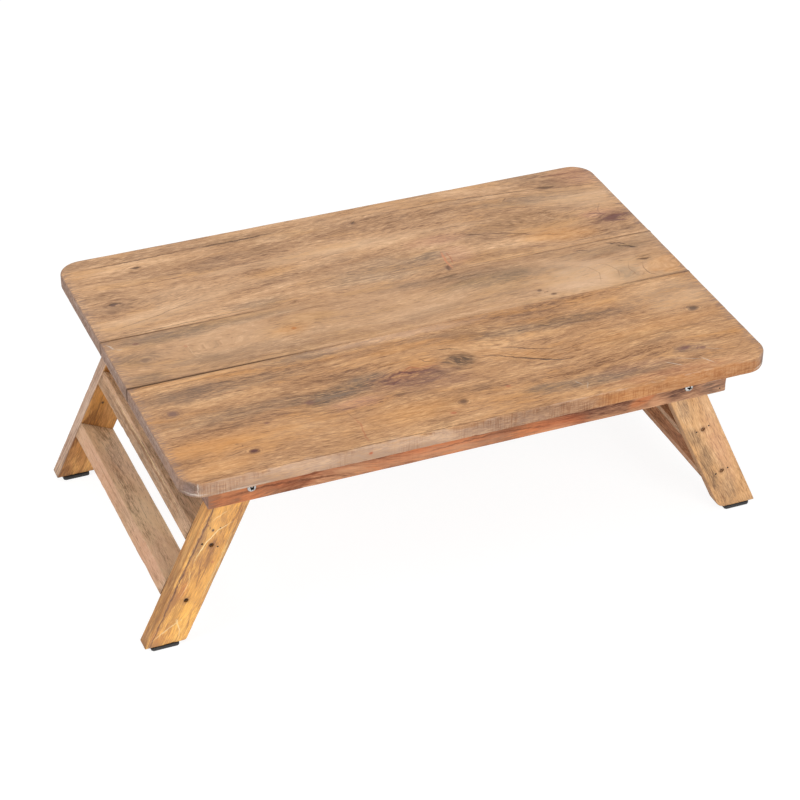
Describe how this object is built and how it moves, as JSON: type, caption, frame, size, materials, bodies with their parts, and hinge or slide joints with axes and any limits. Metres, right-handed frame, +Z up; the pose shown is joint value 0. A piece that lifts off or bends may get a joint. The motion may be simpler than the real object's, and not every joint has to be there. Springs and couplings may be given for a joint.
{
  "type": "folding tray table",
  "caption": "Low rectangular wooden tray table: a plank top with round corners on four rails, with a splayed folding leg frame at each end.",
  "frame": {"origin": "on the floor below the middle of the top, with both leg frames open", "axes": "+X along the top's length, +Y from the front edge to the back edge, +Z up"},
  "size_m": [0.6614, 0.416, 0.22],
  "materials": {
    "front_plank_wood": "waxed, worn",
    "middle_plank_wood": "waxed, worn",
    "back_plank_wood": "waxed, worn",
    "rail_wood": "waxed",
    "left_leg_wood": "lacquered",
    "right_leg_wood": "waxed, worn",
    "rung_wood": "rough sawn",
    "screw_steel": "zinc plated",
    "dark_steel": "dull",
    "pad_rubber": "matte"
  },
  "bodies": {
    "top": {"front_top_plank": "front_plank_wood", "middle_top_plank": "middle_plank_wood", "back_top_plank": "back_plank_wood", "front_side_rail": "rail_wood", "back_side_rail": "rail_wood", "left_end_rail": "rail_wood", "right_end_rail": "rail_wood", "top_screws": "screw_steel"},
    "left_leg_frame": {"left_front_leg": "left_leg_wood", "left_back_leg": "left_leg_wood", "left_upper_rung": "rung_wood", "left_lower_rung": "rung_wood", "left_front_foot_pad": "pad_rubber", "left_back_foot_pad": "pad_rubber", "left_pivot_screws": "screw_steel", "left_pivot_washers": "screw_steel", "left_rung_screws": "dark_steel"},
    "right_leg_frame": {"right_front_leg": "right_leg_wood", "right_back_leg": "right_leg_wood", "right_upper_rung": "rung_wood", "right_lower_rung": "rung_wood", "right_front_foot_pad": "pad_rubber", "right_back_foot_pad": "pad_rubber", "right_pivot_screws": "screw_steel", "right_pivot_washers": "screw_steel", "right_rung_screws": "dark_steel"}
  },
  "joints": [
    {"name": "left_frame_fold", "type": "hinge", "parent": "top", "child": "left_leg_frame", "pos_m": [-0.22651, 0, 0.1825], "axis": [0, -1, 0], "range_deg": [0, 115]},
    {"name": "right_frame_fold", "type": "hinge", "parent": "top", "child": "right_leg_frame", "pos_m": [0.22651, 0, 0.1825], "axis": [0, 1, 0], "range_deg": [0, 115]}
  ]
}
